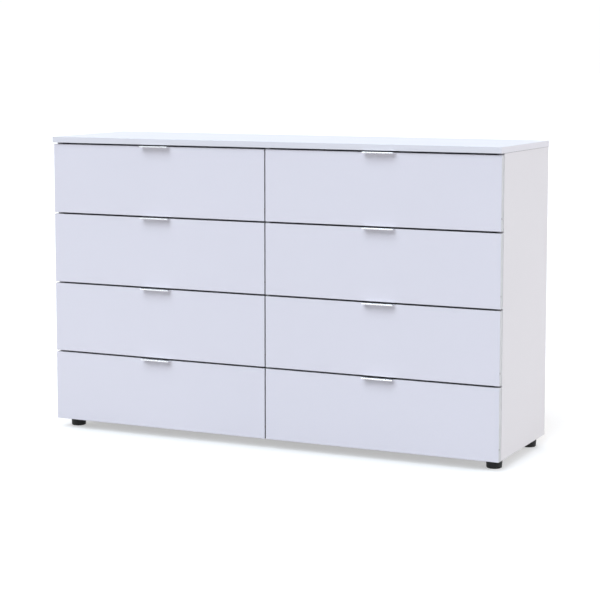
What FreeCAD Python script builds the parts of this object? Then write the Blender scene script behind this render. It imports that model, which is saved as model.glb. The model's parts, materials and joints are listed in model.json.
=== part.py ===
import FreeCAD, Part
import os
from FreeCAD import Vector

# A free-standing chest of eight equal drawers in two columns.
# Frame: X to the right, Y towards the back, Z up, in millimetres. The origin is on the floor, under the
# centre of the whole chest, handles included.

# ---- overall sizes ----
top_width = 1300.0
body_width = 1298.0            # over the side panels, and over the two columns of fronts
body_depth = 372.0             # from the faces of the fronts to the back edges of the side panels
foot_height = 27.0
columns = 2
rows = 4
front_pitch = 192.5            # from one front to the next one above it
front_gap = 4.5                # the level gap above each front
column_gap = 3.2               # the upright gap between the two columns
top_overhang = 6.0             # how far the top panel stands in front of the fronts

# ---- boards ----
board = 16.0                   # carcass panels and fronts
thin_board = 12.0              # drawer sides and backs
sheet = 3.0                    # hardboard of the cabinet's back and the drawer bottoms
edge_radius = 0.8
front_standoff = 2.5           # air between a front and the carcass edge behind it
sheet_inset = 8.0              # from the side panels' back edges to the back sheet
groove_depth = 5.0
groove_play = 0.1              # air on each face of a sheet in its groove

# ---- drawer boxes ----
box_lift = 26.0                # from the lower edge of the front to the lower edge of the box
box_height = 125.0
box_depth = 320.0
bottom_lift = 8.0              # from the lower edge of the box to the underside of its bottom sheet

# ---- handles ----
handle_length = 85.0
handle_reach = 18.0            # in front of the face
handle_sheet = 1.5
handle_lip = 3.2
handle_flange = 18.0           # how far the handle reaches down behind the front
handle_bend = 1.2
handle_hole_spacing = 64.0
handle_hole_diameter = 3.6
handle_pilot_diameter = 2.9
handle_pilot_depth = 11.0

# ---- ball-bearing runners, sections measured from the cabinet wall ----
runner_width = 12.5
runner_length = 300.0
runner_steel = 1.2
runner_bend = 2.0              # outer radius of the bends
runner_hole_diameter = 4.2
runner_hole_shares = (0.12, 0.5, 0.88)   # places of the holes along the runner
runner_inset = 2.0             # from the carcass front edge to the runner
runner_lift = 45.0             # from the lower edge of the box to the runner's centre line
cabinet_member_height = 35.0
cabinet_member_reach = 10.5
drawer_member_height = 20.0
drawer_member_start = 3.6
cage_start = 1.8
cage_reach = 9.2
cage_steel = 0.8
cage_length = 76.0
cage_offset = 112.0            # from the runner's front end to the cage, with the drawer shut
ball_diameter = 5.0
balls_per_row = 4

# ---- feet ----
foot_top_diameter = 43.0
foot_bottom_diameter = 39.5
foot_round = 3.0
foot_side_inset = 32.0         # from the side panel's outer face to the foot's axis
foot_front_inset = 59.0        # from the faces of the fronts
foot_back_inset = 38.0         # from the back edges
foot_recess_diameter = 11.0
foot_recess_depth = 9.0
foot_screw_shank = 4.0
foot_screw_bite = 13.0         # depth of its hole in the bottom panel
foot_screw_head = 8.5
foot_screw_head_height = 3.0
foot_screw_cross = 4.4         # across the cross recess
foot_screw_slot = 1.0

# ---- fittings ----
cam_diameter = 15.0
cam_depth = 12.5
cam_distance = 34.0            # from the joint to the cam's axis
cam_bolt_diameter = 6.8
cam_bolt_bite = 11.0           # how far the bolt goes into the other panel
dowel_diameter = 8.0
dowel_length = 30.0
fit_play = 0.05                # air round a dowel, bolt or cam in its hole
edge_hole_diameter = 5.0
edge_hole_depth = 10.0
edge_hole_inset = 4.0          # from the face of the front
edge_hole_lift = 32.0          # from the lower edge of the front

# ---- places worked out from the sizes ----
overall_depth = body_depth + handle_reach
face_y = -overall_depth / 2 + handle_reach
back_y = overall_depth / 2
front_back_y = face_y + board
carcass_y = front_back_y + front_standoff
sheet_y = back_y - sheet_inset - sheet
inner_back_y = sheet_y - groove_play
body_z = foot_height
inner_z = body_z + board
top_z = body_z + rows * front_pitch
side_x = body_width / 2
inner_x = side_x - board
half_board = board / 2
bay_width = inner_x - half_board
front_width = (body_width - column_gap) / 2
front_height = front_pitch - front_gap
box_width = bay_width - 2 * runner_width
box_back_y = front_back_y + box_depth
runner_y = carcass_y + runner_inset
joint_ys = (carcass_y + 70.0, inner_back_y - 70.0)
dowel_shift = 32.0             # from a cam to the dowel beside it

column_names = ("left", "right")
column_signs = (-1, 1)

X_AXIS = Vector(1, 0, 0)
Y_AXIS = Vector(0, 1, 0)
Z_AXIS = Vector(0, 0, 1)


def block(x0, x1, y0, y1, z0, z1):
    """A plain box between two corners, given in any order."""
    low = Vector(min(x0, x1), min(y0, y1), min(z0, z1))
    return Part.makeBox(abs(x1 - x0), abs(y1 - y0), abs(z1 - z0), low)


def panel(x0, x1, y0, y1, z0, z1):
    """A board with its edges eased."""
    solid = block(x0, x1, y0, y1, z0, z1)
    return solid.makeFillet(edge_radius, solid.Edges)


def rod(start, direction, diameter, length):
    return Part.makeCylinder(diameter / 2, length, start, direction)


def drill(solid, start, direction, diameter, depth):
    """The solid with a hole that starts at a point on its surface."""
    lead = 1.0
    direction = Vector(direction).normalize()
    tool = rod(start - direction * lead, direction, diameter, depth + lead)
    return solid.cut(tool)


def one_solid(shape):
    """The single solid of a Boolean's result, with its split faces joined again."""
    return shape.removeSplitter().Solids[0]


def write(node, solids):
    shape = solids[0] if len(solids) == 1 else Part.makeCompound(solids)
    shape.exportStep("parts/%s.step" % node)


# ---------------------------------------------------------------- carcass


def joints_on_uprights():
    """Where a bolt and a dowel pass from an upright panel into the top panel: x, and the face of the cam."""
    faces = []
    for sign in column_signs:
        faces.append((sign * (side_x - half_board), -sign))
    faces.append((0.0, 1))
    return faces


def cam_hole(solid, point, direction):
    return drill(solid, point, direction, cam_diameter + 2 * fit_play, cam_depth)


def bolt_hole(solid, point, direction):
    return drill(solid, point, direction, cam_bolt_diameter + 2 * fit_play, cam_distance)


def bite_hole(solid, point, direction, diameter, depth):
    return drill(solid, point, direction, diameter + 2 * fit_play, depth)


def drill_upright_top(solid, x, cam_side):
    """The cam pockets, bolt holes and dowel holes at an upright's top end."""
    for y in joint_ys:
        pocket = Vector(x + cam_side * half_board, y, top_z - cam_distance)
        solid = cam_hole(solid, pocket, Vector(-cam_side, 0, 0))
        solid = bolt_hole(solid, Vector(x, y, top_z), -Z_AXIS)
        place = Vector(x, y + dowel_shift, top_z)
        solid = bite_hole(solid, place, -Z_AXIS, dowel_diameter, dowel_length / 2)
    return solid


def side_panel(sign):
    outer = sign * side_x
    inner = sign * inner_x
    solid = panel(outer, inner, carcass_y, back_y, body_z, top_z)
    groove = block(inner, inner + sign * groove_depth, inner_back_y, sheet_y + sheet + groove_play,
                   body_z, top_z)
    solid = solid.cut(groove)
    solid = drill_upright_top(solid, sign * (side_x - half_board), -sign)
    outward = Vector(sign, 0, 0)
    for y in joint_ys:
        place = Vector(inner, y, body_z + half_board)
        solid = bite_hole(solid, place, outward, cam_bolt_diameter, cam_bolt_bite)
        beside = place + Y_AXIS * dowel_shift
        solid = bite_hole(solid, beside, outward, dowel_diameter, cam_bolt_bite)
    return one_solid(solid)


def centre_partition():
    solid = panel(-half_board, half_board, carcass_y, inner_back_y, inner_z, top_z)
    solid = drill_upright_top(solid, 0.0, 1)
    for y in joint_ys:
        pocket = Vector(half_board, y, inner_z + cam_distance)
        solid = cam_hole(solid, pocket, -X_AXIS)
        solid = bolt_hole(solid, Vector(0, y, inner_z), Z_AXIS)
        beside = Vector(0, y + dowel_shift, inner_z)
        solid = bite_hole(solid, beside, Z_AXIS, dowel_diameter, dowel_length / 2)
    return one_solid(solid)


def top_panel():
    half = top_width / 2
    solid = panel(-half, half, face_y - top_overhang, back_y, top_z, top_z + board)
    reach = inner_x + groove_depth + groove_play
    groove = block(-reach, reach, inner_back_y, sheet_y + sheet + groove_play,
                   top_z, top_z + groove_depth + groove_play)
    solid = solid.cut(groove)
    for x, _ in joints_on_uprights():
        for y in joint_ys:
            place = Vector(x, y, top_z)
            solid = bite_hole(solid, place, Z_AXIS, cam_bolt_diameter, cam_bolt_bite)
            beside = place + Y_AXIS * dowel_shift
            solid = bite_hole(solid, beside, Z_AXIS, dowel_diameter, cam_bolt_bite)
    return one_solid(solid)


def bottom_panel():
    solid = panel(-inner_x, inner_x, carcass_y, inner_back_y, body_z, inner_z)
    level = body_z + half_board
    for y in joint_ys:
        for sign in column_signs:
            end = Vector(sign * inner_x, y, level)
            inward = Vector(-sign, 0, 0)
            pocket = Vector(sign * (inner_x - cam_distance), y, body_z)
            solid = cam_hole(solid, pocket, Z_AXIS)
            solid = bolt_hole(solid, end, inward)
            beside = end + Y_AXIS * dowel_shift
            solid = bite_hole(solid, beside, inward, dowel_diameter, dowel_length - cam_bolt_bite)
        middle = Vector(0, y, inner_z)
        solid = bite_hole(solid, middle, -Z_AXIS, cam_bolt_diameter, cam_bolt_bite)
        beside = middle + Y_AXIS * dowel_shift
        solid = bite_hole(solid, beside, -Z_AXIS, dowel_diameter, cam_bolt_bite)
    for x, y in foot_places():
        place = Vector(x, y, body_z)
        solid = bite_hole(solid, place, Z_AXIS, foot_screw_shank, foot_screw_bite)
    return one_solid(solid)


def back_panels():
    """Two hardboard sheets that meet behind the partition, in grooves in the sides and the top."""
    lift = 2.0
    reach = inner_x + groove_depth - groove_play
    seam = 1.0
    high = top_z + groove_depth - groove_play
    sheets = []
    for sign in column_signs:
        sheets.append(block(sign * seam, sign * reach, sheet_y, sheet_y + sheet, body_z + lift, high))
    return sheets


def back_nails():
    """Small nails through the back sheets into the partition and the bottom panel."""
    nail_diameter = 1.4
    nail_length = 14.0
    head_diameter = 3.0
    head_height = 0.6
    spacing = 100.0
    seam_offset = 4.5
    head_y = sheet_y + sheet
    spots = []
    for sign in column_signs:
        for step in range(1, 8):
            spots.append((sign * seam_offset, body_z + step * spacing))
        for step in range(1, 7):
            spots.append((sign * step * spacing, body_z + half_board))
    nails = []
    for x, z in spots:
        shank = rod(Vector(x, head_y, z), -Y_AXIS, nail_diameter, nail_length)
        head = rod(Vector(x, head_y, z), Y_AXIS, head_diameter, head_height)
        nails.append(one_solid(shank.fuse(head)))
    return nails


def cam_places():
    """For each cam: the middle of its face, the way into the board, the joint, and the way from it."""
    places = []
    for y in joint_ys:
        for x, cam_side in joints_on_uprights():
            face = Vector(x + cam_side * half_board, y, top_z - cam_distance)
            places.append((face, Vector(-cam_side, 0, 0), Vector(x, y, top_z), -Z_AXIS))
        face = Vector(half_board, y, inner_z + cam_distance)
        places.append((face, -X_AXIS, Vector(0, y, inner_z), Z_AXIS))
        for sign in column_signs:
            face = Vector(sign * (inner_x - cam_distance), y, body_z)
            joint = Vector(sign * inner_x, y, body_z + half_board)
            places.append((face, Z_AXIS, joint, Vector(-sign, 0, 0)))
    return places


def cam(face, into, joint, along):
    """A round cam, slotted for a screwdriver and hollowed where its bolt enters."""
    slot_depth = 3.0
    slot_width = 2.2
    solid = rod(face + into * fit_play, into, cam_diameter, cam_depth - 2 * fit_play)
    across = along.cross(into)
    corner = face - into - across * cam_diameter - along * slot_width / 2
    slot = Part.makeBox(2 * cam_diameter, slot_width, slot_depth + 1)
    slot.Placement = FreeCAD.Placement(corner, FreeCAD.Rotation(across, along, into, "ZXY"))
    passage = rod(joint, along, cam_bolt_diameter + 2 * fit_play, cam_distance)
    return one_solid(solid.cut(slot).cut(passage))


def cam_bolt(joint, along):
    start = joint - along * (cam_bolt_bite - fit_play)
    return rod(start, along, cam_bolt_diameter, cam_bolt_bite + cam_distance - 2 * fit_play)


def cam_fittings():
    """Each fitting is a cam in its pocket, and the bolt that it draws tight."""
    solids = []
    for face, into, joint, along in cam_places():
        solids.append(cam(face, into, joint, along))
        solids.append(cam_bolt(joint, along))
    return solids


def dowels():
    pins = []
    for y in joint_ys:
        beside = y + dowel_shift
        for x, _ in joints_on_uprights():
            pins.append((Vector(x, beside, top_z + cam_bolt_bite), -Z_AXIS))
        pins.append((Vector(0, beside, inner_z - cam_bolt_bite), Z_AXIS))
        for sign in column_signs:
            start = Vector(sign * (inner_x + cam_bolt_bite), beside, body_z + half_board)
            pins.append((start, Vector(-sign, 0, 0)))
    length = dowel_length / 2 + cam_bolt_bite
    return [rod(start, direction, dowel_diameter, length) for start, direction in pins]


# ---------------------------------------------------------------- feet


def foot_places():
    """One foot near each corner, and one under the partition."""
    front = face_y + foot_front_inset
    back = back_y - foot_back_inset
    side = side_x - foot_side_inset
    corners = [(sign * side, y) for y in (front, back) for sign in column_signs]
    return corners + [(0.0, (front + back) / 2)]


def foot(x, y):
    top = foot_top_diameter / 2
    bottom = foot_bottom_diameter / 2
    cone = Part.makeCone(bottom, top, foot_height, Vector(x, y, 0), Z_AXIS)
    lower_rim = [edge for edge in cone.Edges if edge.BoundBox.ZMax < 1.0]
    solid = cone.makeFillet(foot_round, lower_rim)
    solid = drill(solid, Vector(x, y, 0), Z_AXIS, foot_recess_diameter, foot_recess_depth)
    hole = foot_screw_shank + 1.0
    return one_solid(drill(solid, Vector(x, y, 0), Z_AXIS, hole, foot_height + 1))


def foot_screw(x, y):
    seat = foot_recess_depth
    head = rod(Vector(x, y, seat - foot_screw_head_height), Z_AXIS, foot_screw_head,
               foot_screw_head_height)
    length = foot_height - seat + foot_screw_bite - 1.0
    shank = rod(Vector(x, y, seat), Z_AXIS, foot_screw_shank, length)
    screw = head.fuse(shank)
    arm = foot_screw_cross / 2
    half_slot = foot_screw_slot / 2
    depth = 1.4
    under = seat - foot_screw_head_height
    for half_x, half_y in ((arm, half_slot), (half_slot, arm)):
        recess = block(x - half_x, x + half_x, y - half_y, y + half_y, under - 1, under + depth)
        screw = screw.cut(recess)
    return one_solid(screw)


# ---------------------------------------------------------------- runners


def channel(web_x, away, reach, height, steel, bend, y0, length, z):
    """A bent steel channel, open away from the outer face of its web at web_x."""
    end_x = web_x + away * reach
    half = height / 2
    outer = block(web_x, end_x, y0, y0 + length, z - half, z + half)
    outer = outer.makeFillet(bend, edges_along_y(outer, web_x))
    hollow_x = web_x + away * steel
    half_hollow = half - steel
    hollow = block(hollow_x, end_x + away * length, y0 - 1, y0 + length + 1, z - half_hollow, z + half_hollow)
    hollow = hollow.makeFillet(bend - steel, edges_along_y(hollow, hollow_x))
    return one_solid(outer.cut(hollow))


def edges_along_y(solid, x):
    """The solid's edges that run along Y at one x."""
    found = []
    for edge in solid.Edges:
        box = edge.BoundBox
        if box.YLength > 1.0 and box.ZLength < 0.01 and abs(box.XMax - x) < 0.01 and box.XLength < 0.01:
            found.append(edge)
    return found


def screw_holes(solid, x, away, y0, z):
    """Three holes through a runner's web."""
    for share in runner_hole_shares:
        start = Vector(x, y0 + share * runner_length, z)
        solid = drill(solid, start, Vector(away, 0, 0), runner_hole_diameter, 2 * runner_steel)
    return one_solid(solid)


def cabinet_member(wall_x, away, z):
    solid = channel(wall_x, away, cabinet_member_reach, cabinet_member_height, runner_steel, runner_bend,
                    runner_y, runner_length, z)
    return screw_holes(solid, wall_x, away, runner_y, z)


def drawer_member(wall_x, away, z):
    side = wall_x + away * runner_width
    solid = channel(side, -away, runner_width - drawer_member_start, drawer_member_height, runner_steel,
                    runner_bend, runner_y, runner_length, z)
    return screw_holes(solid, side, -away, runner_y, z)


def ball_cage(wall_x, away, z):
    """A bent strip that carries two rows of balls between the two members."""
    clearance = (cabinet_member_height / 2 - runner_steel + drawer_member_height / 2) / 2
    y0 = runner_y + cage_offset
    solid = channel(wall_x + away * cage_start, away, cage_reach - cage_start, 2 * clearance + cage_steel,
                    cage_steel, 2 * cage_steel, y0, cage_length, z)
    ball_x = wall_x + away * (cage_start + cage_reach) / 2
    step = cage_length / balls_per_row
    for row_z in (z - clearance, z + clearance):
        for number in range(balls_per_row):
            centre = Vector(ball_x, y0 + (number + 0.5) * step, row_z)
            solid = solid.fuse(Part.makeSphere(ball_diameter / 2, centre))
    return one_solid(solid)


def bay_walls(sign):
    """The two wall faces of a column's bay, each with the direction away from that wall."""
    return ((sign * inner_x, -sign), (sign * half_board, sign))


def runner_level(row):
    return body_z + row * front_pitch + box_lift + runner_lift


# ---------------------------------------------------------------- drawers


def front_centre(sign):
    return sign * (column_gap + front_width) / 2


def box_limits(sign):
    """The outer faces of a drawer box, lower x first."""
    faces = [wall + away * runner_width for wall, away in bay_walls(sign)]
    return min(faces), max(faces)


def drawer_front(sign, row):
    centre = front_centre(sign)
    half = front_width / 2
    low = body_z + row * front_pitch
    high = low + front_height
    solid = panel(centre - half, centre + half, face_y, front_back_y, low, high)
    for side in (-1, 1):
        place = Vector(centre + side * half, face_y + edge_hole_inset, low + edge_hole_lift)
        solid = drill(solid, place, Vector(-side, 0, 0), edge_hole_diameter, edge_hole_depth)
        hole = Vector(centre + side * handle_hole_spacing / 2, front_back_y, high - handle_flange / 2)
        solid = drill(solid, hole, -Y_AXIS, handle_pilot_diameter, handle_pilot_depth)
    left, right = box_limits(sign)
    sheet_low = low + box_lift + bottom_lift
    groove = block(left + thin_board - groove_depth, right - thin_board + groove_depth,
                   front_back_y - groove_depth, front_back_y + 1,
                   sheet_low - groove_play, sheet_low + sheet + groove_play)
    return one_solid(solid.cut(groove))


def drawer_box(sign, row):
    """The two side boards and the back board, each its own solid."""
    left, right = box_limits(sign)
    low = body_z + row * front_pitch + box_lift
    high = low + box_height
    sheet_low = low + bottom_lift
    boards = []
    for outer, inward in ((left, 1), (right, -1)):
        inner = outer + inward * thin_board
        side = panel(outer, inner, front_back_y, box_back_y, low, high)
        groove = block(inner - inward * groove_depth, inner + inward, front_back_y - 1, box_back_y + 1,
                       sheet_low - groove_play, sheet_low + sheet + groove_play)
        boards.append(one_solid(side.cut(groove)))
    back_low = sheet_low + sheet + groove_play
    boards.append(panel(left + thin_board, right - thin_board, box_back_y - thin_board, box_back_y,
                        back_low, high))
    return boards


def drawer_bottom(sign, row):
    left, right = box_limits(sign)
    low = body_z + row * front_pitch + box_lift + bottom_lift
    bury = groove_depth - groove_play
    return block(left + thin_board - bury, right - thin_board + bury,
                 front_back_y - bury, box_back_y, low, low + sheet)


def drawer_handle(sign, row):
    """A bent strip over the top edge of the front, with a lip to pull and a flange behind the front."""
    centre = front_centre(sign)
    start = centre - handle_length / 2
    high = body_z + row * front_pitch + front_height
    top = high + handle_sheet
    lip_y = face_y - handle_reach
    flange_y = front_back_y + handle_sheet
    outline = (
        (lip_y, top - handle_lip),
        (lip_y, top),
        (flange_y, top),
        (flange_y, high - handle_flange),
        (front_back_y, high - handle_flange),
        (front_back_y, high),
        (lip_y + handle_sheet, high),
        (lip_y + handle_sheet, top - handle_lip),
    )
    points = [Vector(start, y, z) for y, z in outline]
    profile = Part.Face(Part.makePolygon(points + points[:1]))
    solid = profile.extrude(Vector(handle_length, 0, 0))
    bends = [edge for edge in solid.Edges if is_outer_bend(edge, top)]
    solid = solid.makeFillet(handle_bend, bends)
    for side in (-1, 1):
        hole = Vector(centre + side * handle_hole_spacing / 2, flange_y, high - handle_flange / 2)
        solid = drill(solid, hole, -Y_AXIS, handle_hole_diameter, 2 * handle_sheet)
    return one_solid(solid)


def is_outer_bend(edge, level):
    box = edge.BoundBox
    return box.XLength > handle_length / 2 and box.ZLength < 0.01 and abs(box.ZMax - level) < 0.01


# ---------------------------------------------------------------- the whole chest


def write_carcass():
    write("top_panel", [top_panel()])
    write("bottom_panel", [bottom_panel()])
    write("left_side_panel", [side_panel(-1)])
    write("right_side_panel", [side_panel(1)])
    write("centre_partition", [centre_partition()])
    write("back_panels", back_panels())
    write("back_nails", back_nails())
    write("cam_fittings", cam_fittings())
    write("dowels", dowels())
    write("feet", [foot(x, y) for x, y in foot_places()])
    write("foot_screws", [foot_screw(x, y) for x, y in foot_places()])
    members = []
    for sign in column_signs:
        for row in range(rows):
            for wall, away in bay_walls(sign):
                members.append(cabinet_member(wall, away, runner_level(row)))
    write("cabinet_runners", members)


def write_drawer(column, row):
    """Rows count from the floor inside the chest, and drawers are numbered from the top."""
    sign = column_signs[column]
    name = "%s_drawer_%d" % (column_names[column], rows - row)
    level = runner_level(row)
    walls = bay_walls(sign)
    write(name + "_front", [drawer_front(sign, row)])
    write(name + "_handle", [drawer_handle(sign, row)])
    write(name + "_box", drawer_box(sign, row))
    write(name + "_bottom", [drawer_bottom(sign, row)])
    write(name + "_runners", [drawer_member(wall, away, level) for wall, away in walls])
    write(name + "_ball_cages", [ball_cage(wall, away, level) for wall, away in walls])


os.makedirs("parts", exist_ok=True)
write_carcass()
for column in range(columns):
    for row in range(rows):
        write_drawer(column, row)
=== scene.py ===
import json
import math

import bmesh
import bpy
from mathutils import Matrix, Vector


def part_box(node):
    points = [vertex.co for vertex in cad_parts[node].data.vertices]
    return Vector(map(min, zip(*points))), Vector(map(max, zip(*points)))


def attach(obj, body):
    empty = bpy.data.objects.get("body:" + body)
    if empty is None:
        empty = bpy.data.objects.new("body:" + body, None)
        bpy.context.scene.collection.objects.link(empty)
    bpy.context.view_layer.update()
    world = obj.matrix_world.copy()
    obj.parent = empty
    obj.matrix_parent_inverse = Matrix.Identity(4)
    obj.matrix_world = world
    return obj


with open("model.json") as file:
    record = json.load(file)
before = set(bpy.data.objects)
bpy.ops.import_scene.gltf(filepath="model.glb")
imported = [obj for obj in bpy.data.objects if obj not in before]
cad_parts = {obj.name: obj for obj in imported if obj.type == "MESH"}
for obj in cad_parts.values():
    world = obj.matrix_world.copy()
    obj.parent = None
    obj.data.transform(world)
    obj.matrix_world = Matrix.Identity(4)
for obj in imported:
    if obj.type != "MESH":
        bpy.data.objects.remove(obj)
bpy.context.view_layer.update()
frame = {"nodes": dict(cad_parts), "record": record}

MM = 0.001

# The chest.
COLUMNS = ("left", "right")
ROWS = (1, 2, 3, 4)
DRAWERS = ["%s_drawer_%d" % (column, row) for column in COLUMNS for row in ROWS]
BAND = 1.0 * MM                     # the thickness of the edge banding
JOINT_WIDTH = 0.12 * MM             # half the hairline between the banding and the board's face
FACING = 0.36 * MM                  # the white facing over the chipboard
CUT_BORDER = 0.15 * MM              # over which the facing gives way to chipboard in a hole
TOP_SHADE_STRIP = 1.4 * MM               # the strip of painted shade on a side panel under the top
RUNNER_STEEL = 1.2 * MM             # the sheet that the runners are bent from
MEMBER_SETBACK = 3.6 * MM           # from a panel to the drawer member of the runner on it
RUNNER_HOLES = (0.12, 0.5, 0.88)    # where along a runner its screws are, as shares of its length

# The screws: the radius and height of each head, and where the screws of a drawer are.
PAN_HEAD = (3.5 * MM, 1.7 * MM)
FLAT_HEAD = (3.8 * MM, 0.6 * MM)
HANDLE_HEAD = (3.6 * MM, 1.9 * MM)
HEAD_SIDES = 24                     # of the round head: two for each corner of its cross
BOX_SCREW_INSET = 6 * MM            # from the back of a drawer's box
BOX_SCREW_MARGIN = 22 * MM          # from the lower and upper edge of the box
HANDLE_SCREW_OFFSET = 32 * MM       # from the middle of a handle to either side
HANDLE_SCREW_DROP = 9 * MM          # from the top of the front

# Colours.
# The chipboard in holes and grooves: its own brown, darkened as painted shade inside the cut.
CHIP_DARK_SHADED = (0.10, 0.07, 0.045)
CHIP_LIGHT_SHADED = (0.27, 0.195, 0.125)
FOIL = (0.78, 0.78, 0.78)
FIBRE = (0.30, 0.185, 0.10)
LACQUER = (0.735, 0.70, 0.752)
LACQUER_EDGE = (0.50, 0.495, 0.505)
# One white melamine: the top's face painted lighter and bluer as painted light, the top's edges and the
# side panels painted shade.
TOP_WHITE_PAINTED_LIGHT = (0.736, 0.741, 0.789)
TOP_EDGE_PAINTED_SHADE = (0.725, 0.701, 0.736)
SIDE_WHITE_PAINTED_SHADE = (0.727, 0.698, 0.713)
INNER_WHITE = (0.79, 0.785, 0.80)
DRAWER_WHITE = (0.74, 0.74, 0.745)
# The colour of the painted shade in the groove under the top.
GROOVE_PAINTED_SHADE = (0.1, 0.1, 0.1)
ALUMINIUM = (0.90, 0.905, 0.915)
ZINC_PLATE = (0.60, 0.61, 0.64)
CAST_ZINC = (0.55, 0.55, 0.56)
SCREW_ZINC = (0.63, 0.64, 0.66)
BEECH = (0.62, 0.43, 0.25)
BLACK_PLASTIC = (0.008, 0.008, 0.008)

# Noise: the borders between which most of its values lie, and its stretches for brushed metal.
NOISE_MIDDLE = (0.3, 0.7)
ALONG_X = (0.04, 1.0, 1.0)
ALONG_Y = (1.0, 0.05, 1.0)

# The studio, in metres. A brightness of 1 shows as pure white.
FLOOR_REACH = 80.0
FLOOR_GREY = (0.62, 0.62, 0.62)     # the floor's paint, as the camera sees it
FLOOR_GLOW = (0.42, 0.42, 0.42)     # what makes it white there
FLOOR_BOUNCE = (0.4, 0.4, 0.4)      # its colour in the light that it gives to matt surfaces
BACKGROUND = 1.02                   # just over white
DOME_COLOUR = (0.96, 0.98, 1.0)
DOME_HORIZON = 0.25
DOME_ZENITH = 0.6
CEILING_GLOSS = 0.45                # how much brighter the dome overhead is in direct reflections
CEILING_RISE = (0.2, 0.5)           # the sine of the elevation where that sets in, and where it is full
WIDE_LIGHT = 50.0                   # the angle in degrees that every light covers
LAMP_DISTANCE = 4.0
KEY_COLOUR = (0.81, 0.90, 1.0)
FILL_COLOUR = (0.98, 0.98, 1.0)

# The camera: its lens and sensor in millimetres, its place and reach in metres, its turns in degrees.
LENS = 107.35
SENSOR = 36.0
SHIFT_UP = -0.10                    # in widths of the picture
CAMERA_PLACE = (2.0817, -4.3355, 1.0397)
TURN_LEFT = 25.46
LOOK_DOWN = 5.944
REACH = (0.1, 100.0)                # the nearest and farthest that it sees


# ---------------------------------------------------------------- node tools


def add_node(owner, kind, **settings):
    """A new node in the tree of a material or of the world."""
    node = owner.node_tree.nodes.new(kind)
    for name, value in settings.items():
        setattr(node, name, value)
    return node


def link(owner, output, socket):
    owner.node_tree.links.new(output, socket)


def calculate(owner, operation, *values, kind="ShaderNodeMath"):
    """The result of a Math node. Each value is a decimal number or an output."""
    node = add_node(owner, kind, operation=operation)
    for socket, value in zip(node.inputs, values):
        if isinstance(value, (float, tuple)):
            socket.default_value = value
        else:
            link(owner, value, socket)
    return node.outputs[0]


def calculate_vector(owner, operation, *values):
    """The result of a Vector Math node. Each value is a tuple or an output."""
    return calculate(owner, operation, *values, kind="ShaderNodeVectorMath")


def split(owner, vector):
    """The X, Y and Z of a vector output."""
    parts = add_node(owner, "ShaderNodeSeparateXYZ")
    link(owner, vector, parts.inputs["Vector"])
    return parts.outputs


def map_range(owner, value, borders, results, curve="LINEAR"):
    """Goes from the first result to the second while the value goes from border to border."""
    node = add_node(owner, "ShaderNodeMapRange", clamp=True, interpolation_type=curve)
    node.inputs["From Min"].default_value, node.inputs["From Max"].default_value = borders
    node.inputs["To Min"].default_value, node.inputs["To Max"].default_value = results
    link(owner, value, node.inputs["Value"])
    return node.outputs["Result"]


def mix_colours(material, factor, first, second):
    """first where factor is 0 and second where it is 1. Each is a colour or an output."""
    node = add_node(material, "ShaderNodeMix", data_type="RGBA")
    link(material, factor, node.inputs["Factor"])
    for socket, value in (("A", first), ("B", second)):
        target = [s for s in node.inputs if s.name == socket and s.type == "RGBA"][0]
        if isinstance(value, tuple):
            target.default_value = (*value, 1.0)
        else:
            link(material, value, target)
    return [s for s in node.outputs if s.type == "RGBA"][0]


# ---------------------------------------------------------------- material tools


def new_material(name, colour, roughness, **sockets):
    """A Principled material. Further sockets are given by their names, with _ for a space."""
    material = bpy.data.materials.new(name)
    material.use_nodes = True
    shader = shader_of(material)
    shader.inputs["Base Color"].default_value = (*colour, 1.0)
    shader.inputs["Roughness"].default_value = roughness
    for socket, value in sockets.items():
        shader.inputs[socket.replace("_", " ")].default_value = value
    material.diffuse_color = (*colour, 1.0)
    return material


def shader_of(material):
    return material.node_tree.nodes["Principled BSDF"]


def place_of(material, stretch=(1.0, 1.0, 1.0)):
    """The point on the object, in metres, stretched where a grain runs one way."""
    coordinates = add_node(material, "ShaderNodeTexCoord")
    mapping = add_node(material, "ShaderNodeMapping")
    mapping.inputs["Scale"].default_value = stretch
    link(material, coordinates.outputs["Object"], mapping.inputs["Vector"])
    return mapping.outputs["Vector"]


def normal_of(material):
    """The X, Y and Z of where a face looks, along the axes of the object."""
    coordinates = add_node(material, "ShaderNodeTexCoord")
    return split(material, coordinates.outputs["Normal"])


def noise(material, size, detail=2.0, roughness=0.5, stretch=(1.0, 1.0, 1.0)):
    """Noise whose features are about size metres across."""
    node = add_node(material, "ShaderNodeTexNoise")
    node.inputs["Scale"].default_value = 1.0 / size
    node.inputs["Detail"].default_value = detail
    node.inputs["Roughness"].default_value = roughness
    link(material, place_of(material, stretch), node.inputs["Vector"])
    return node.outputs["Fac"]


def spread(material, pattern, low=0.0, high=1.0):
    """A noise's middle range stretched to low..high."""
    return map_range(material, pattern, NOISE_MIDDLE, (low, high))


def near(material, distance, place, width):
    """1 where distance is at place, fading to 0 where it is width away on either side."""
    offset = calculate(material, "SUBTRACT", distance, place)
    size = calculate(material, "ABSOLUTE", offset)
    return map_range(material, size, (0.0, width), (1.0, 0.0), "SMOOTHSTEP")


def scaled(colour, factor):
    return tuple(min(1.0, channel * factor) for channel in colour)


def mottled(material, pattern, colour, low, high):
    """A colour whose brightness a noise varies between two shares of its own."""
    return mix_colours(material, spread(material, pattern), scaled(colour, low), scaled(colour, high))


def set_colour(material, shown):
    link(material, shown, shader_of(material).inputs["Base Color"])


def vary_gloss(material, pattern, low, high):
    """Lets a noise vary the roughness between low and high."""
    link(material, spread(material, pattern, low, high), shader_of(material).inputs["Roughness"])


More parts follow.
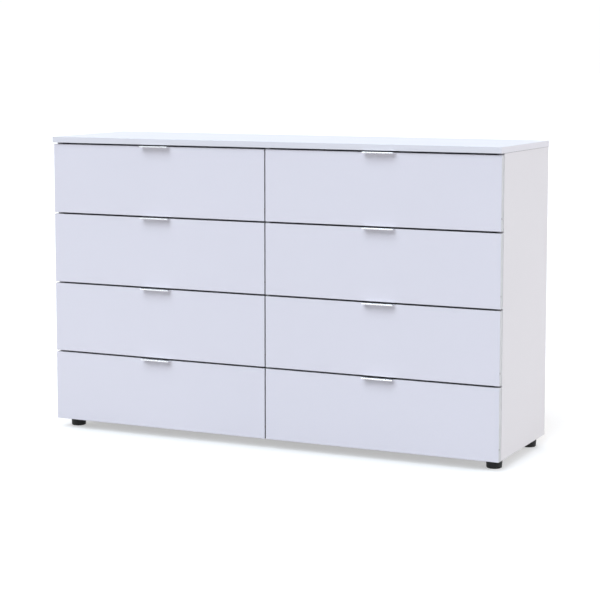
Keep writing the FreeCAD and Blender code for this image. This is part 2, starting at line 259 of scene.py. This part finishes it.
def add_bump(material, height, strength, depth, below=None):
    """A bump from a height output. below is the normal of a coarser bump under it."""
    node = add_node(material, "ShaderNodeBump")
    node.inputs["Strength"].default_value = strength
    node.inputs["Distance"].default_value = depth
    link(material, height, node.inputs["Height"])
    if below is not None:
        link(material, below, node.inputs["Normal"])
    link(material, node.outputs["Normal"], shader_of(material).inputs["Normal"])
    return node.outputs["Normal"]


# ---------------------------------------------------------------- boards


def face_depths(material, size):
    """How far in, in metres, a point on a board is along X, Y and Z from the nearer end of its box."""
    coordinates = add_node(material, "ShaderNodeTexCoord")
    half = (0.5, 0.5, 0.5)
    middle = calculate_vector(material, "SUBTRACT", coordinates.outputs["Generated"], half)
    outward = calculate_vector(material, "ABSOLUTE", middle)
    inward = calculate_vector(material, "SUBTRACT", half, outward)
    return split(material, calculate_vector(material, "MULTIPLY", inward, size))


def band_edges(material, shown, colour, distance):
    """Adds the banding to a board: slightly rubbed, with a hairline joint at its inner border.

    Returns the new colour, and the joint as 1 on the hairline and 0 elsewhere.
    """
    patchy = spread(material, noise(material, 20 * MM, detail=3.0), 0.15, 0.6)
    rubbed = calculate(material, "MULTIPLY", near(material, distance, 0.0, BAND), patchy)
    shown = mix_colours(material, rubbed, shown, scaled(colour, 0.93))
    joint = near(material, distance, BAND, JOINT_WIDTH)
    faint = calculate(material, "MULTIPLY", joint, 0.5)
    return mix_colours(material, faint, shown, scaled(colour, 0.6)), joint


def show_core_and_hole_shade(material, shown, depth):
    """Bare chipboard, darkened as painted shade, wherever a hole or groove cuts below the facing."""
    chips = spread(material, noise(material, 2.2 * MM, detail=4.0, roughness=0.65))
    core = mix_colours(material, chips, CHIP_DARK_SHADED, CHIP_LIGHT_SHADED)
    cut = map_range(material, depth, (FACING, FACING + CUT_BORDER), (0.0, 1.0))
    return mix_colours(material, cut, shown, core)


def board_material(name, colour, roughness, grain, peel, node=None, edge=None, **sockets):
    """White faced board: a fine pearl in the facing, and a slow change of tone over the sheet.

    grain and peel are the strengths of its finest bump and of the wider one under it. With a node
    named, its edges are banded, and its holes and grooves show the board's core, darkened as painted
    shade. edge is the colour on the edge faces: the fronts' own grey, and on the top a darker copy
    of its white as painted shade.
    """
    material = new_material(name, colour, roughness, **sockets)
    cloud = mottled(material, noise(material, 350 * MM), colour, 0.985, 1.01)
    fleck = spread(material, noise(material, 1.6 * MM, detail=3.0))
    shown = mix_colours(material, fleck, cloud, scaled(colour, 0.985))
    vary_gloss(material, noise(material, 4 * MM), roughness - 0.05, roughness + 0.05)
    below = add_bump(material, noise(material, 6 * MM, detail=1.0), peel, depth=0.2 * MM)
    if node:
        low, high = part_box(node)
        size = tuple(high[axis] - low[axis] for axis in range(3))
        thin_axis = size.index(min(size))
        depths = face_depths(material, size)
        wide_depths = [depths[axis] for axis in range(3) if axis != thin_axis]
        distance = calculate(material, "MINIMUM", *wide_depths)
        shown, joint = band_edges(material, shown, colour, distance)
        # Edge faces take the edge colour: the fronts' own grey, and painted shade on the top.
        if edge:
            on_face = calculate(material, "ABSOLUTE", normal_of(material)[thin_axis])
            shown = mix_colours(material, on_face, edge, shown)
        depth = calculate(material, "MINIMUM", distance, depths[thin_axis])
        shown = show_core_and_hole_shade(material, shown, depth)
        below = add_bump(material, joint, strength=0.4, depth=-0.1 * MM, below=below)
    set_colour(material, shown)
    add_bump(material, noise(material, 0.9 * MM, detail=3.0), grain, depth=0.1 * MM, below=below)
    return material


def melamine(name, colour, node, edge=None):
    """Melamine board, which is duller and more grained than the lacquered fronts."""
    return board_material(name, colour, roughness=0.5, grain=0.35, peel=0.1, node=node, edge=edge,
                          Specular_IOR_Level=0.35)


def paint_groove_shade(material, node):
    """Paints shade along the groove where a node's rounded top edges meet the board above."""
    shown = shader_of(material).inputs["Base Color"].links[0].from_socket
    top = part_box(node)[1][2]
    groove = near(material, split(material, place_of(material))[2], top, TOP_SHADE_STRIP)
    shade_amount = calculate(material, "MULTIPLY", groove, 0.8)
    set_colour(material, mix_colours(material, shade_amount, shown, GROOVE_PAINTED_SHADE))


# ---------------------------------------------------------------- the other materials


def metal_material(name, colour, roughness, brushed=(1.0, 1.0, 1.0)):
    """Metal, grained evenly or, with brushed as ALONG_X or ALONG_Y, in fine lines."""
    material = new_material(name, colour, roughness, Metallic=1.0)
    lines = noise(material, 0.6 * MM, detail=4.0, roughness=0.6, stretch=brushed)
    set_colour(material, mottled(material, lines, colour, 0.93, 1.05))
    vary_gloss(material, lines, roughness - 0.06, roughness + 0.08)
    add_bump(material, lines, strength=0.12, depth=0.05 * MM)
    return material


def hardboard_material():
    """Thin fibreboard: white foil on the face that shows inside, bare brown fibre outside and below."""
    material = new_material("hardboard", FOIL, roughness=0.6)
    normal = normal_of(material)
    outside = calculate(material, "SUBTRACT", normal["Y"], normal["Z"])
    bare = calculate(material, "GREATER_THAN", outside, 0.5)
    fibres = noise(material, 1.2 * MM, detail=5.0, roughness=0.6, stretch=(1.0, 1.0, 0.5))
    fine = mottled(material, fibres, FIBRE, 0.84, 1.14)
    clouds = spread(material, noise(material, 120 * MM, detail=3.0), 0.0, 0.35)
    brown = mix_colours(material, clouds, fine, scaled(FIBRE, 0.9))
    clean = mottled(material, noise(material, 200 * MM), FOIL, 0.98, 1.0)
    set_colour(material, mix_colours(material, bare, clean, brown))
    add_bump(material, noise(material, 0.9 * MM, detail=4.0), strength=0.2, depth=0.1 * MM)
    return material


def beech_material():
    material = new_material("beech", BEECH, roughness=0.6)
    rings = noise(material, 2 * MM, detail=4.0, roughness=0.6, stretch=(1.0, 1.0, 0.2))
    set_colour(material, mottled(material, rings, BEECH, 0.8, 1.1))
    add_bump(material, rings, strength=0.3, depth=0.1 * MM)
    return material


def foot_material():
    """Black moulded plastic with a spark-eroded texture."""
    material = new_material("foot_plastic", BLACK_PLASTIC, roughness=0.45, Specular_IOR_Level=0.35)
    patches = noise(material, 6 * MM, detail=3.0)
    set_colour(material, mottled(material, patches, BLACK_PLASTIC, 0.8, 1.5))
    vary_gloss(material, noise(material, 2 * MM), 0.38, 0.54)
    add_bump(material, noise(material, 0.7 * MM, detail=3.0), strength=0.35, depth=0.1 * MM)
    return material


def front_material():
    """Lacquered board. The fronts are all of one size, so the first one's box serves for each."""
    return board_material("front_lacquer", LACQUER, roughness=0.34, grain=0.1, peel=0.22,
                          node=DRAWERS[0] + "_front", edge=LACQUER_EDGE,
                          Coat_Weight=0.3, Coat_Roughness=0.16)


MATERIALS = {
    "front_board": front_material(),
    "drawer_board": board_material("foil_white", DRAWER_WHITE, roughness=0.42, grain=0.12, peel=0.04),
    "hardboard": hardboard_material(),
    "handle_metal": metal_material("satin_aluminium", ALUMINIUM, roughness=0.22, brushed=ALONG_X),
    "runner_steel": metal_material("zinc_plate", ZINC_PLATE, roughness=0.34, brushed=ALONG_Y),
    "fitting_zinc": metal_material("die_cast_zinc", CAST_ZINC, roughness=0.42),
    "screw_steel": metal_material("screw_zinc", SCREW_ZINC, roughness=0.3),
    "dowel_beech": beech_material(),
    "foot_plastic": foot_material(),
}
BOARDS = {
    # One white melamine in lit and shaded copies: painted light on the top, painted shade on its edges
    # and the sides.
    "top_panel": melamine("melamine_top_painted_light", TOP_WHITE_PAINTED_LIGHT, "top_panel", TOP_EDGE_PAINTED_SHADE),
    "bottom_panel": melamine("melamine_bottom", INNER_WHITE, "bottom_panel"),
    "left_side_panel": melamine("melamine_side_painted_shade", SIDE_WHITE_PAINTED_SHADE, "left_side_panel"),
    "centre_partition": melamine("melamine_partition", INNER_WHITE, "centre_partition"),
}
BOARDS["right_side_panel"] = BOARDS["left_side_panel"]
# Painted shade along the top edge of the side panels, where the top panel meets them.
paint_groove_shade(BOARDS["left_side_panel"], "left_side_panel")


def dress_cad_nodes():
    """Gives each CAD node its board's material, or the one of its slot."""
    slots = {row["node"]: row["material_slot"] for row in frame["record"]["subparts"]}
    for node, piece in frame["nodes"].items():
        material = BOARDS.get(node) or MATERIALS[slots[node]]
        for place in piece.material_slots:
            place.material = material
        if not piece.material_slots:
            piece.data.materials.append(material)


# ---------------------------------------------------------------- small pieces


def new_object(name, mesh, material):
    """Turns a bmesh into an object of the scene."""
    data = bpy.data.meshes.new(name)
    mesh.to_mesh(data)
    mesh.free()
    data.materials.append(material)
    made = bpy.data.objects.new(name, data)
    bpy.context.scene.collection.objects.link(made)
    return made


def finish_piece(name, mesh, body, slot):
    """Turns a bmesh into a piece that rides on a body and has its slot's material."""
    bmesh.ops.recalc_face_normals(mesh, faces=mesh.faces)
    piece = new_object(name, mesh, MATERIALS[slot])
    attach(piece, body)


def circle(radius):
    angles = [2 * math.pi * step / HEAD_SIDES for step in range(HEAD_SIDES)]
    return [(radius * math.cos(angle), radius * math.sin(angle)) for angle in angles]


def cross(reach, half_width):
    """The corners of a cross, anticlockwise and three to each quarter turn."""
    outline = []
    for quarter in range(4):
        cosine, sine = round(math.cos(quarter * math.pi / 2)), round(math.sin(quarter * math.pi / 2))
        for x, y in ((reach, -half_width), (reach, half_width), (half_width, half_width)):
            outline.append((x * cosine - y * sine, x * sine + y * cosine))
    return outline


def cross_head(mesh, place, direction, radius, height):
    """Adds a screw's head standing on a surface, with an eased rim and a cross recess."""
    turn = Vector((0, 0, 1)).rotation_difference(Vector(direction)).to_matrix().to_4x4()
    matrix = Matrix.Translation(place) @ turn

    def add_ring(outline, level):
        return [mesh.verts.new(matrix @ Vector((x, y, level))) for x, y in outline]

    eased_radius = radius * 0.88
    levels = ((radius, 0.0), (radius, height * 0.5), (eased_radius, height))
    rings = [add_ring(circle(ring_radius), level) for ring_radius, level in levels]
    for lower, upper in zip(rings, rings[1:]):
        for step in range(HEAD_SIDES):
            mesh.faces.new((lower[step - 1], lower[step], upper[step], upper[step - 1]))

    reach, half_width, recess = radius * 0.56, radius * 0.15, height * 0.7
    outline = cross(reach, half_width)
    narrowed = [(x * 0.8, y * 0.8) for x, y in outline]
    mouth = add_ring(outline, height)
    floor = add_ring(narrowed, height - recess)
    rim = rings[-1]
    for corner in range(len(outline)):
        after = (corner + 1) % len(outline)
        first, middle, last = (rim[(2 * corner + step) % HEAD_SIDES] for step in (-1, 0, 1))
        mesh.faces.new((first, middle, mouth[corner]))
        mesh.faces.new((middle, last, mouth[after], mouth[corner]))
        mesh.faces.new((mouth[corner], mouth[after], floor[after], floor[corner]))
    mesh.faces.new(floor)


def runner_holes(drawer):
    """The Y and Z of the three screw holes along the runners of a drawer."""
    low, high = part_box(drawer + "_runners")
    length = high[1] - low[1]
    return [(low[1] + share * length, (low[2] + high[2]) / 2) for share in RUNNER_HOLES]


def make_cabinet_screws():
    """The screws that hold the cabinet members: one in each hole, its head inside the channel."""
    mesh = bmesh.new()
    for drawer in DRAWERS:
        low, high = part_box(drawer + "_runners")
        for y, z in runner_holes(drawer):
            for x, inward in ((low[0] - MEMBER_SETBACK, 1), (high[0] + MEMBER_SETBACK, -1)):
                cross_head(mesh, (x + inward * RUNNER_STEEL, y, z), (inward, 0, 0), *PAN_HEAD)
    finish_piece("cabinet_runner_screws", mesh, "carcass", "screw_steel")


def make_drawer_screws(drawer):
    """The screws of a drawer: in its runners, in the handle's flange and at the box's back corners."""
    mesh = bmesh.new()
    box_low, box_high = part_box(drawer + "_box")
    for x, outward in ((box_low[0], -1), (box_high[0], 1)):
        for y, z in runner_holes(drawer):
            cross_head(mesh, (x + outward * RUNNER_STEEL, y, z), (outward, 0, 0), *PAN_HEAD)
        for z in (box_low[2] + BOX_SCREW_MARGIN, box_high[2] - BOX_SCREW_MARGIN):
            cross_head(mesh, (x, box_high[1] - BOX_SCREW_INSET, z), (outward, 0, 0), *FLAT_HEAD)
    handle_low, handle_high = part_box(drawer + "_handle")
    middle = (handle_low[0] + handle_high[0]) / 2
    screw_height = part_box(drawer + "_front")[1][2] - HANDLE_SCREW_DROP
    for x in (middle - HANDLE_SCREW_OFFSET, middle + HANDLE_SCREW_OFFSET):
        cross_head(mesh, (x, handle_high[1], screw_height), (0, 1, 0), *HANDLE_HEAD)
    finish_piece(drawer + "_screws", mesh, drawer, "screw_steel")


# ---------------------------------------------------------------- floor, light and camera


def floor_material():
    """Matt paint, white to the camera and in gloss, that lights matt surfaces as a plain grey does."""
    material = new_material("floor_paint", FLOOR_GREY, roughness=0.7, Specular_IOR_Level=0.2)
    vary_gloss(material, noise(material, 1500 * MM, detail=1.0), 0.68, 0.74)
    diffuse_ray = add_node(material, "ShaderNodeLightPath").outputs["Is Diffuse Ray"]
    set_colour(material, mix_colours(material, diffuse_ray, FLOOR_GREY, FLOOR_BOUNCE))
    glow = mix_colours(material, diffuse_ray, FLOOR_GLOW, (0.0, 0.0, 0.0))
    link(material, glow, shader_of(material).inputs["Emission Color"])
    shader_of(material).inputs["Emission Strength"].default_value = 1.0
    return material


def make_floor():
    mesh = bmesh.new()
    signs = ((-1, -1), (1, -1), (1, 1), (-1, 1))
    mesh.faces.new([mesh.verts.new((x * FLOOR_REACH, y * FLOOR_REACH, 0.0)) for x, y in signs])
    floor = new_object("floor", mesh, floor_material())


def make_world():
    """A soft studio dome, brightest overhead and more so in direct reflections.

    The camera itself sees a plain white background. A reflection is direct when the camera sees it
    by way of glossy surfaces only.
    """
    world = bpy.data.worlds.new("studio")
    bpy.context.scene.world = world
    world.use_nodes = True
    rays = add_node(world, "ShaderNodeLightPath").outputs
    direction = add_node(world, "ShaderNodeTexCoord").outputs["Generated"]
    height = split(world, direction)["Z"]

    rise = calculate(world, "POWER", height, 2.0)
    level = map_range(world, rise, (0.0, 1.0), (DOME_HORIZON, DOME_ZENITH))
    ceiling = map_range(world, height, CEILING_RISE, (0.0, CEILING_GLOSS), "SMOOTHSTEP")
    direct = calculate(world, "GREATER_THAN", rays["Is Glossy Ray"], rays["Diffuse Depth"])
    strength = calculate(world, "MULTIPLY_ADD", ceiling, direct, level)

    dome = world.node_tree.nodes["Background"]
    dome.inputs["Color"].default_value = (*DOME_COLOUR, 1.0)
    link(world, strength, dome.inputs["Strength"])
    white = add_node(world, "ShaderNodeBackground")
    white.inputs["Color"].default_value = (1.0, 1.0, 1.0, 1.0)
    white.inputs["Strength"].default_value = BACKGROUND
    mix = add_node(world, "ShaderNodeMixShader")
    link(world, rays["Is Camera Ray"], mix.inputs["Fac"])
    link(world, dome.outputs["Background"], mix.inputs[1])
    link(world, white.outputs["Background"], mix.inputs[2])
    link(world, mix.outputs["Shader"], world.node_tree.nodes["World Output"].inputs["Surface"])


def add_softbox(name, colour, azimuth, elevation, level, glossy=False):
    """A far, wide light. azimuth turns from straight in front towards the right.

    level is the brightness that it gives a white matt surface that faces it. Only a glossy one
    shows in gloss.
    """
    light = bpy.data.lights.new(name, "SUN")
    light.angle = math.radians(WIDE_LIGHT)
    light.energy = level * math.pi
    light.color = colour
    lamp = bpy.data.objects.new(name, light)
    turn, rise = math.radians(azimuth), math.radians(elevation)
    source = Vector((math.sin(turn) * math.cos(rise), -math.cos(turn) * math.cos(rise), math.sin(rise)))
    lamp.rotation_euler = (-source).to_track_quat("-Z", "Y").to_euler()
    lamp.location = source * LAMP_DISTANCE
    lamp.visible_glossy = glossy
    bpy.context.scene.collection.objects.link(lamp)


def make_lights():
    add_softbox("key", KEY_COLOUR, azimuth=-5.0, elevation=46.0, level=0.86, glossy=True)
    add_softbox("right_fill", FILL_COLOUR, azimuth=124.0, elevation=15.0, level=0.74)
    add_softbox("left_fill", FILL_COLOUR, azimuth=-124.0, elevation=18.0, level=0.5)
    bpy.context.scene.view_settings.view_transform = "Standard"


def make_camera():
    """A long lens from the right, a little above, as one stands back to see the whole chest."""
    camera = bpy.data.cameras.new("camera")
    camera.sensor_width = SENSOR
    camera.lens = LENS
    camera.shift_y = SHIFT_UP
    camera.clip_start, camera.clip_end = REACH
    holder = bpy.data.objects.new("camera", camera)
    holder.location = CAMERA_PLACE
    holder.rotation_euler = (math.radians(90.0 - LOOK_DOWN), 0.0, math.radians(TURN_LEFT))
    bpy.context.scene.collection.objects.link(holder)
    bpy.context.scene.camera = holder


make_camera()
make_world()
make_lights()
make_floor()
dress_cad_nodes()
make_cabinet_screws()
for name in DRAWERS:
    make_drawer_screws(name)
